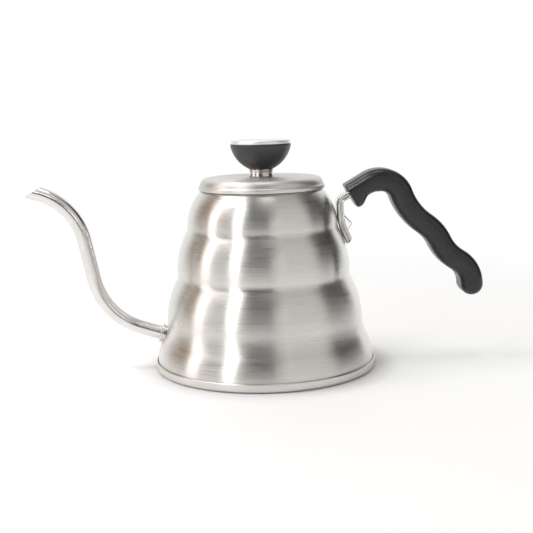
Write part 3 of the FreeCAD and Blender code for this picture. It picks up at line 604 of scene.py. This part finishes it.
def make_spout():
    """A bent tube whose mouth is cut slantwise, each line of the wall ending on the cut."""
    stations = chain(*SPOUT_ROOT, SPOUT_MOVES, 1.0)
    cut_angle = math.radians(SPOUT_SLOPE)
    lip = Vector((SPOUT_LIP[0], 0, SPOUT_LIP[1]))
    normal = Vector((math.sin(cut_angle), 0, -math.cos(cut_angle)))

    def beyond(point):
        """How far a point lies past the slanted cut."""
        return (point - lip).dot(normal)

    def wall_lines(radius):
        """The wall's lengthwise lines: each one's points before the cut, and its end on the cut."""
        rings = [tube_ring(station, radius, SPOUT_SIDES) for station in stations]
        lines = []
        for i in range(SPOUT_SIDES):
            line = [ring[i] for ring in rings]
            kept = [p for p in line if beyond(p) < 0]
            inside, outside = kept[-1], line[min(len(kept), len(line) - 1)]
            if len(kept) < len(line):
                share = beyond(inside) / (beyond(inside) - beyond(outside))
                end = inside.lerp(outside, share)
            else:
                along = (line[-1] - line[-2]).normalized()
                end = line[-1] - along * (beyond(line[-1]) / along.dot(normal))
            lines.append((kept, end))
        return lines

    def ring_set(radius):
        """Rings square to the path, then rings that lean over until the last lies on the cut."""
        lines = wall_lines(radius)
        shortest = min(len(kept) for kept, _ in lines) - 3
        rings = [[kept[k] for kept, _ in lines] for k in range(shortest)]
        for k in range(1, SPOUT_TIP_RINGS + 1):
            share = k / SPOUT_TIP_RINGS
            ring = []
            for kept, end in lines:
                tail = kept[shortest - 1:] + [end]
                lengths = [0.0]
                for p, q in zip(tail, tail[1:]):
                    lengths.append(lengths[-1] + (q - p).length)
                goal = lengths[-1] * share
                j = next(j for j in range(1, len(tail)) if lengths[j] >= goal - 1e-9)
                span = lengths[j] - lengths[j - 1]
                ring.append(tail[j - 1].lerp(tail[j], (goal - lengths[j - 1]) / max(span, 1e-9)))
            rings.append(ring)
        return rings

    outer, inner = ring_set(SPOUT_OUTER), ring_set(SPOUT_BORE)

    def between(a, b, direction):
        """A rounded edge between two rings of the wall's end."""
        return [[p.lerp(q, share) + direction * (SPOUT_EDGE * math.sin(math.pi * share))
                 for p, q in zip(a, b)] for share in (0.12, 0.3, 0.5, 0.7, 0.88)]

    start_heading = math.radians(SPOUT_ROOT[2])
    back = Vector((-math.cos(start_heading), 0, -math.sin(start_heading)))
    loop = outer + between(outer[-1], inner[-1], normal) + inner[::-1]
    loop += between(inner[0], outer[0], back)
    bm = bmesh.new()
    rings = [[bm.verts.new(p * MM) for p in ring] for ring in loop]
    grid_faces(bm, rings, closed_along=True)
    bm.transform(HALF_TURN)
    piece = new_object("gooseneck_spout", bm, SPOUT)
    return own(piece, "kettle", "spout_steel", "spout_tube")


FLANGE_HUB, FLANGE_RIM = 5.5, 6.4
FLANGE_BACK, FLANGE_LOW, FLANGE_TOP, FLANGE_END = -1.4, 3.4, 4.5, 5.0  # places along the spout's root
FLANGE_REACH = 60.0  # the flange is shaped to the pot's outside below this height


def make_spout_collar():
    """A ring with a rolled edge and a sloped end round the spout, shaped to the pot behind it."""
    corners = [(SPOUT_HOLE, FLANGE_BACK, 0), (FLANGE_HUB, FLANGE_BACK, 0), (FLANGE_HUB, FLANGE_LOW, 0.25),
               (FLANGE_RIM, FLANGE_LOW, 0.35), (FLANGE_RIM, FLANGE_TOP, 0.35),
               (FLANGE_HUB, FLANGE_TOP, 0.3), (4.75, FLANGE_END, 0.2), (SPOUT_HOLE, FLANGE_END, 0)]
    piece = lathe("spout_flange", rounded(corners), SPOUT, 96, spout_axis())
    outside = [(x + WELD_GAP, z) for x, z, _ in body_stations() if x > MOUTH + LIP and z < FLANGE_REACH]
    cut(piece, lathe("tool", [(0, outside[0][1])] + outside + [(0, outside[-1][1])], SPOUT))
    return own(piece, "kettle", "spout_steel", "spout_collar")


BRACKET_FOOT = (54.2, 79.0, 114.0)
BRACKET_MOVES = [(8.8,), (25.0, -20.0), (8.7,), (6.5, -64.0), (22.0,)]
BRACKET_HALF, BRACKET_DEPTH, BRACKET_FOOT_ROUND = 6.2, 4.4, 2.4


def bracket_section():
    """The closed channel, as (y, n): a back with two flanges, each with a pinch and a bead."""
    half, depth = BRACKET_HALF, BRACKET_DEPTH
    outer = arc(half - 1.5, -1.5, 1.5, 90, 5, 14)
    outer += [(half - 0.35, -1.75), (half - 0.5, -2.3), (half - 0.45, -2.8)]
    outer += arc(half - 0.75, -depth + 0.75, 0.75, 40, -90, 16)
    inner = [(half - 0.75 - 0.35, -depth + 0.02), (half - 1.45, -depth + 0.5), (half - 1.5, -2.6)]
    inner += arc(half - 1.9, -1.5, 0.5, 0, 90, 20)
    right = outer + inner
    return right + [(-y, n) for y, n in reversed(right)]


def bracket_painted_shade(y, n):
    """How much painted shade darkens the steel: a line in each flange's pinch and one along the bend's
    edge.
    """
    pinch = max(0.0, 1 - abs(n + 2.3) / 0.5) if abs(y) > BRACKET_HALF - 1.2 else 0.0
    rim = max(0.0, 1 - abs(n + 0.35) / 0.4) if abs(y) > BRACKET_HALF - 1.4 else 0.0
    return max(0.8 * pinch, rim)


def make_bracket():
    """A pressed channel. Its flanges are pinched in between the bend and a beaded edge."""
    stations, section = chain(*BRACKET_FOOT, BRACKET_MOVES, 0.7), bracket_section()
    bm = bmesh.new()
    painted_shade = bm.verts.layers.float.new("painted_shade")
    rings = []
    for station in stations:
        gone = math.dist(station[:2], stations[0][:2])
        # The flanges start shallow at the foot and reach their depth in a quarter round.
        missing = max(0.0, 1 - gone / BRACKET_FOOT_ROUND)
        shallow = 1 - math.sqrt(max(0.0, 1 - missing ** 2))
        ring = []
        for y, n in section:
            lift = shallow * max(0.0, -n - 1.2) * 0.75
            vertex = bm.verts.new(beside(station, y, n + lift))
            # Painted shade: a dark line in each flange's pinch and along the bend's edge.
            vertex[painted_shade] = bracket_painted_shade(y, n)
            ring.append(vertex)
        rings.append(ring)
    grid_faces(bm, rings)
    bm.faces.new(rings[0])
    bm.faces.new(rings[-1])
    piece = new_object("side_bracket", bm, BRACKET)
    return own(piece, "kettle", "bracket_steel", "handle_bracket")


def make_gusset():
    """A thin plate with a rounded tip, standing in the channel, its steel made lighter than the bracket's
    as a painted highlight.
    """
    half_thickness, edge = 0.5, 0.45
    corners = [(53.6, 84.0, 0.5), (58.6, 91.6, 1.6), (49.9, 100.8, 0.5), (50.75, 92.0, 8.0)]
    piece = slab("bracket_ear", rounded(corners, 10.0), half_thickness, edge, EAR_PAINTED_HIGHLIGHT)
    return own(piece, "kettle", "bracket_steel", "bracket_gusset")


GRIP_FRONT = (56.6, 110.3, 30.0)
GRIP_MOVES = [(15.0,), (14.2, -100.0), (41.8, 35.0), (31.2, -29.0), (30.0, 33.0), (19.0, -58.0)]
GRIP_UP, GRIP_WIDE, GRIP_ROUND = 7.4, 11.0, 5.6
GRIP_EDGE = 0.9  # the rounding of its front face's edge
TAIL_STEPS = 24
# The finger stop, as (distance from the front face, depth below the middle line): its front
# edge, its lowest point, the hollow behind it and the place where the bar is plain again.
STOP_FRONT, STOP_LOW, STOP_HOLLOW, STOP_END = (0.0, 8.9), (2.9, 9.8), (11.0, 6.1), (21.0, GRIP_UP)

# The slot for the bracket, as two corners, and the screw. Heights are above the middle line.
SLOT = (-2.3, -6.5, -2.15), (17.7, 6.5, 2.95)
SCREW_BACK, SCREW_TOP, SCREW_SEAT = 13.0, 1.26, -4.0
HEAD_RECESS, SHANK_BORE = 3.4, 1.95


def stop_depth(gone):
    """The bar's depth under its middle line: a quarter round nose, then two smooth waves."""
    if gone < STOP_LOW[0]:
        share = 1 - gone / STOP_LOW[0]
        return STOP_FRONT[1] + (STOP_LOW[1] - STOP_FRONT[1]) * math.sqrt(1 - share**2)
    for (a, high), (b, low) in ((STOP_LOW, STOP_HOLLOW), (STOP_HOLLOW, STOP_END)):
        if gone < b:
            share = (1 - math.cos(math.pi * (gone - a) / (b - a))) / 2
            return high + (low - high) * share
    return GRIP_UP


def grip_section(up, down, wide, radius):
    """A rounded rectangle as (y, n), anticlockwise from the middle of its side at +y."""
    points = []
    corners = ((wide, up, 0), (-wide, up, 90), (-wide, -down, 180), (wide, -down, 270))
    for x, z, first in corners:
        cx, cz = x - math.copysign(radius, x), z - math.copysign(radius, z)
        points += arc(cx, cz, radius, first, first + 90, 9)
        if first == 0:
            points += [(wide - radius - (wide - radius) * 2 * i / 7, up) for i in range(1, 7)]
        if first == 90:
            points.append((-wide, 0.0))
        if first == 180:
            points += [(-(wide - radius) + (wide - radius) * 2 * i / 7, -down) for i in range(1, 7)]
    return [(wide, 0.0)] + points


def make_grip():
    """A rounded bar along a wavy line, half-round at its end, with a finger stop in front."""
    stations = chain(*GRIP_FRONT, GRIP_MOVES, 0.7)
    bm = bmesh.new()

    def ring_at(station, inset, depth):
        section = grip_section(GRIP_UP - inset, depth - inset, GRIP_WIDE - inset, GRIP_ROUND - inset)
        return [bm.verts.new(beside(station, y, n)) for y, n in section]

    x, z, heading = stations[0]
    along = math.radians(heading)
    rings = []
    for i in range(5):
        t = math.pi / 2 * i / 5
        gone = GRIP_EDGE * (1 - math.cos(t))
        station = (x + gone * math.cos(along), z + gone * math.sin(along), heading)
        rings.append(ring_at(station, GRIP_EDGE * (1 - math.sin(t)), stop_depth(gone)))
    walked = 0.0
    for before, station in zip(stations, stations[1:]):
        walked += math.dist(before[:2], station[:2])
        if walked > GRIP_EDGE:
            rings.append(ring_at(station, 0.0, stop_depth(walked)))
    grid_faces(bm, rings)
    bm.faces.new(rings[0])
    # The end: the upper half of the last section turned about the line across the bar.
    last = rings[-1]
    half = len(last) // 2
    top = last[: half + 1]
    bottom = [last[0]] + last[:half - 1:-1]
    x, z, heading = stations[-1]
    section = grip_section(GRIP_UP, GRIP_UP, GRIP_WIDE, GRIP_ROUND)[: half + 1]
    rows = [top]
    for k in range(1, TAIL_STEPS):
        turned = (x, z, heading - 180 * k / TAIL_STEPS)
        middle = [bm.verts.new(beside(turned, y, n)) for y, n in section[1:-1]]
        rows.append([last[0]] + middle + [last[half]])
    rows.append(bottom)
    grid_faces(bm, rows, closed_across=False)
    piece = new_object("grip", bm, GRIP)
    cut(piece, box_tool(*SLOT, in_plane(*GRIP_FRONT), GRIP))
    cut(piece, rod_tool(HEAD_RECESS, -20, SCREW_SEAT, screw_place(), GRIP))
    cut(piece, rod_tool(SHANK_BORE, SCREW_SEAT - 0.5, -1.5, screw_place(), GRIP))
    return own(piece, "kettle", "grip_black", "handle_grip")


def screw_place():
    """The place of the grip's screw, whose Z runs up along it."""
    return in_plane(*GRIP_FRONT) @ Matrix.Translation((SCREW_BACK * MM, 0, 0))


def make_grip_screw():
    """A domed head with a hexagonal socket, sunk in the grip's underside, and its shank."""
    head, shank, tall = 3.2, 1.75, 1.6
    low = SCREW_SEAT - tall
    outline = [(0, low, 0), (head - 1.0, low, 0.8), (head, low + 0.9, 0.5), (head, SCREW_SEAT, 0.1),
               (shank, SCREW_SEAT, 0), (shank, SCREW_TOP, 0.4), (0, SCREW_TOP, 0)]
    piece = lathe("grip_screw_head", rounded(outline), FASTENER, 48, screw_place())
    across, deep = 1.45, 1.0
    socket = [(0, low - 1), (across, low - 1), (across, low + deep), (0, low + deep)]
    cut(piece, lathe("tool", socket, FASTENER, 6, screw_place()))
    return own(piece, "kettle", "fastener_steel", "grip_screw")


LID_TOP, LID_WALL, STUD_HOLE = 123.6, 0.7, 2.3
LID_MOVES = [(1800.0, -1.127), (4.2, -72.273), (1.2,), (1.0, 40.0), (1.2, -56.6), (1.4,)]


def make_lid():
    """The pressed cap with its rolled hem and a hole for the stud."""
    stations = [s for s in chain(0.0, LID_TOP, 0.0, LID_MOVES, 0.5) if s[0] > STUD_HOLE]
    piece = lathe("lid_cap", sheet(stations, LID_WALL, RIGHT), LID)
    return own(piece, "lid", "body_steel", "lid_shell")


def make_lid_ring():
    """The flange under the cap and the skirt that drops into the mouth."""
    stations = chain(39.85, 116.7, 180.0, [(1.95,), (1.9, 90.0), (5.8,)], 0.4)
    piece = lathe("lid_skirt", sheet(stations, LID_WALL, RIGHT), LID)
    return own(piece, "lid", "body_steel", "lid_ring")


def make_knob():
    """The waisted collar, the bowl with its rim bead, and the spun disc in its top."""
    collar = [(STUD_HOLE, 123.65), (7.45, 123.65), (7.65, 123.72), (7.75, 123.9), (7.75, 124.3)]
    collar += arc(12.1, 126.15, 4.7, 202, 158, 6)
    collar += [(7.75, 127.95), (7.75, 128.3), (7.65, 128.48), (7.45, 128.55), (STUD_HOLE, 128.55)]
    own(lathe("knob_neck", collar, COLLAR, 128), "lid", "fastener_steel", "knob_collar")

    side_x, side_z, side = -1.0, 147.6, 20.87
    low = angle_to((7.9, 128.75), (side_x, side_z))
    high = angle_to((19.35, 143.75), (side_x, side_z))
    bowl = [(4.05, 128.6), (7.3, 128.6), (7.65, 128.66)] + arc(side_x, side_z, side, low, high, 2.0)
    bowl += [(19.4, 144.0), (19.36, 144.25), (19.2, 144.48), (18.9, 144.6), (18.2, 144.6),
             (17.4, 144.6), (17.25, 144.55), (17.2, 144.4), (17.2, 143.7), (17.1, 143.6),
             (0, 143.6), (0, 142.0), (4.05, 142.0)]
    own(lathe("knob_bowl_black", bowl, KNOB, 192), "lid", "knob_black", "knob_bowl")

    cap = [(0, 143.65, 0), (17.1, 143.65, 0.1), (17.1, 144.65, 0.1), (19.0, 144.65, 0.3),
           (19.0, 146.9, 1.0), (0, 146.9, 0)]
    own(lathe("knob_disc", rounded(cap, 9.0), CAP, 192), "lid", "cap_steel", "knob_cap")


def finish_small_nodes():
    """The fasteners keep their CAD shape and get their own metal."""
    for name, material in (("knob_insert", BRASS), ("knob_screw", FASTENER),
                           ("knob_washer", FASTENER), ("grip_nut", FASTENER)):
        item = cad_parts[name]
        item.data.materials.clear()
        item.data.materials.append(material)


# ---------------------------------------------------------------- room, lights and camera

AZIMUTH = -2.5  # the camera stands this far round towards the spout, in degrees
WHITE = (1.0, 1.0, 1.0)
AIM = 0.06  # the height that every light looks at


def around(azimuth, elevation, distance):
    """A point at a direction from the kettle: 0 is the camera's side, positive to its right."""
    a, e = math.radians(azimuth + AZIMUTH), math.radians(elevation)
    flat = distance * math.cos(e)
    return Vector((flat * math.sin(a), -flat * math.cos(a), distance * math.sin(e) + AIM))


def softbox(name, azimuth, elevation, distance, width, height, radiance, colour=(1, 1, 1),
            only=None, without=None):
    """A rectangular light in a direction from the kettle, for one piece only or for all but one."""
    data = bpy.data.lights.new(name, "AREA")
    data.shape = "RECTANGLE"
    data.size, data.size_y = width, height
    data.energy = radiance * math.pi * width * height
    data.color = colour
    light = bpy.data.objects.new(name, data)
    bpy.context.scene.collection.objects.link(light)
    light.location = around(azimuth, elevation, distance)
    aim = Vector((0, 0, AIM)) - light.location
    light.rotation_mode = "QUATERNION"
    light.rotation_quaternion = aim.to_track_quat("-Z", "Y")
    if only or without:
        lit = bpy.data.collections.new(name)
        lit.objects.link(only or without)
        light.light_linking.receiver_collection = lit
        state = "INCLUDE" if only else "EXCLUDE"
        lit.collection_objects[0].light_linking.link_state = state
    return light


# The room seen in the steel, by direction: azimuth from the camera's side, brightness, warmth.
ROOM = [(-180, 1.00, 0.0), (-140, 0.96, 0.0), (-124, 0.42, 0.25), (-112, 0.24, 0.75),
        (-98, 0.30, 0.75), (-90, 0.55, 0.2), (-70, 0.40, 0.08), (-54, 0.34, 0.0), (-26, 0.20, 0.0),
        (-15, 0.05, 0.0), (11, 0.04, 0.0), (20, 0.18, 0.03), (29, 0.68, 0.07), (74, 0.68, 0.08),
        (81, 0.30, 0.06), (88, 0.04, 0.0), (114, 0.02, 0.0), (127, 0.06, 0.0), (138, 0.95, 0.0),
        (180, 1.00, 0.0)]
# How the room in front changes with height: sine of the elevation, brightness.
HEIGHTS = [(-1.0, 0.9), (-0.02, 0.9), (0.03, 0.55), (0.10, 0.65), (0.20, 1.15), (0.42, 1.05),
           (0.70, 0.9), (1.0, 0.9)]
ZENITH = (0.42, 0.415, 0.405)
ZENITH_FROM, ZENITH_TO = 0.62, 0.94  # sines of the elevations between which it takes over


def warmed(value, warm):
    """A grey of a brightness, turned towards amber by a warmth from 0 to 1."""
    return value, value * (1 - 0.45 * warm), value * (1 - 0.8 * warm)


def make_world():
    """A studio: a white backdrop behind, a dim room in front, white to the camera itself."""
    world = bpy.data.worlds.new("studio")
    bpy.context.scene.world = world
    world.use_nodes = True
    world.node_tree.nodes.clear()
    n = Tree(world.node_tree)
    split = n.add("ShaderNodeSeparateXYZ")
    n.link(n.add("ShaderNodeTexCoord").outputs["Generated"], split.inputs[0])
    x, y, z = split.outputs
    angle = n.math("ARCTAN2", x, n.math("MULTIPLY", y, -1.0))
    turned = n.math("SUBTRACT", angle, math.radians(AZIMUTH))
    share = n.math("FRACT", n.math("ADD", n.math("DIVIDE", turned, 2 * math.pi), 1.5))
    sides = n.ramp(share, [(azimuth / 360 + 0.5, warmed(value, warm)) for azimuth, value, warm in ROOM])
    # The heights' brightness is halved in the ramp, so that it stays under 1, and doubled after it.
    heights = n.ramp(n.math("MULTIPLY_ADD", z, 0.5, 0.5),
                     [(place / 2 + 0.5, (value / 2,) * 3) for place, value in HEIGHTS])
    front = n.math("MINIMUM", n.math("MAXIMUM", n.math("MULTIPLY_ADD", y, -1.6, 0.6), 0.0), 1.0)
    more = n.math("SUBTRACT", n.math("MULTIPLY", heights, 2.0), 1.0)
    strength = n.math("MULTIPLY_ADD", more, front, 1.0)
    rise = n.spread(z, 0, 1, ZENITH_FROM, ZENITH_TO, "SMOOTHSTEP")
    room = n.glow("ShaderNodeBackground", n.blend(rise, sides, ZENITH), strength)
    seen = n.glow("ShaderNodeBackground", WHITE, 1.0)
    to_camera = n.add("ShaderNodeLightPath").outputs["Is Camera Ray"]
    n.link(n.mix_shaders(to_camera, room, seen), n.add("ShaderNodeOutputWorld").inputs[0])


FLOOR_RADIUS, FLOOR_DROP = 6.0, 0.0002
# The floor glows with painted light that rises from nothing to OWN_LIGHT between two distances from the
# middle, leaving a painted contact shadow round the base.
SHADE_FROM, SHADE_TO, OWN_LIGHT = 0.0705, 0.088, 0.27
FADE_FROM, FADE_TO = 0.20, 0.50  # the floor turns white between these distances


def make_floor():
    """A pale floor that fades into the white backdrop away from the kettle, with a painted glow and a
    painted contact shadow round the base.
    """
    bm = bmesh.new()
    bmesh.ops.create_circle(bm, cap_ends=True, segments=96, radius=FLOOR_RADIUS)
    n = Nodes("floor")
    n.shader.inputs["Base Color"].default_value = (0.86, 0.86, 0.86, 1)
    n.shader.inputs["Roughness"].default_value = 0.6
    n.shader.inputs["Specular IOR Level"].default_value = 0.2
    grain = n.noise(n.position, 400.0, 2.0)
    n.link(n.bump(grain, 0.00005, 0.2), n.shader.inputs["Normal"])
    length = n.add("ShaderNodeVectorMath", operation="LENGTH")
    n.link(n.position, length.inputs[0])
    away = length.outputs["Value"]
    # Painted light on the floor, dark round the base as a painted contact shadow.
    own_light = n.glow("ShaderNodeEmission", WHITE, n.spread(away, 0.0, OWN_LIGHT, SHADE_FROM, SHADE_TO))
    lit = n.add("ShaderNodeAddShader")
    n.link(n.shader.outputs[0], lit.inputs[0])
    n.link(own_light, lit.inputs[1])
    white = n.glow("ShaderNodeEmission", WHITE, 1.0)
    mixed = n.mix_shaders(n.spread(away, 0, 1, FADE_FROM, FADE_TO), lit.outputs[0], white)
    n.link(mixed, n.tree.nodes["Material Output"].inputs[0])
    floor = new_object("floor", bm, n.material)
    floor.location.z = -FLOOR_DROP


def make_lights(grip, spout):
    """Two windows, a low strip, two lights from above and three that serve one piece only."""
    softbox("window_left", -82, 27, 1.3, 0.33, 1.5, 2.1, (1.0, 0.92, 0.93))
    softbox("window_front", -38.5, 25, 1.3, 0.29, 1.5, 2.7)
    softbox("window_low", 18, 16, 1.3, 0.36, 0.10, 3.0)
    softbox("grip_light", -27, 42, 1.3, 0.40, 0.25, 16.0, only=grip)
    softbox("spout_line", -6, 29, 1.3, 0.50, 0.20, 3.0, only=spout)
    softbox("spout_band", -6, 58, 1.3, 1.00, 0.90, 0.45, only=spout)
    softbox("upper_left", -92, 63, 1.1, 0.5, 0.4, 5.0, without=spout)
    softbox("upper_middle", 80, 86, 1.1, 0.3, 0.25, 5.0)


CAMERA_BACK, CAMERA_UP = 0.645, 0.1721
PAN, PITCH, ROLL = -0.003, -0.165, -0.0244  # radians
SENSOR, LENS = 36.0, 67.54


def make_camera():
    """The camera: AZIMUTH round the kettle, looking a little down."""
    data = bpy.data.cameras.new("camera")
    data.sensor_width = SENSOR
    data.lens = LENS
    camera = bpy.data.objects.new("camera", data)
    bpy.context.scene.collection.objects.link(camera)
    turn = Matrix.Rotation(math.radians(AZIMUTH), 4, "Z")
    stand = Matrix.Translation((0, -CAMERA_BACK, CAMERA_UP))
    tilt = Matrix.Rotation(PAN, 4, "Z") @ Matrix.Rotation(PITCH, 4, "X")
    upright = Matrix.Rotation(math.pi / 2, 4, "X") @ Matrix.Rotation(ROLL, 4, "Z")
    camera.matrix_world = turn @ stand @ tilt @ upright
    bpy.context.scene.camera = camera
    bpy.context.scene.view_settings.view_transform = "Standard"


make_camera()
make_body()
make_base()
spout = make_spout()
make_spout_collar()
make_bracket()
make_gusset()
grip = make_grip()
make_grip_screw()
make_lid()
make_lid_ring()
make_knob()
finish_small_nodes()
make_world()
make_floor()
make_lights(grip, spout)
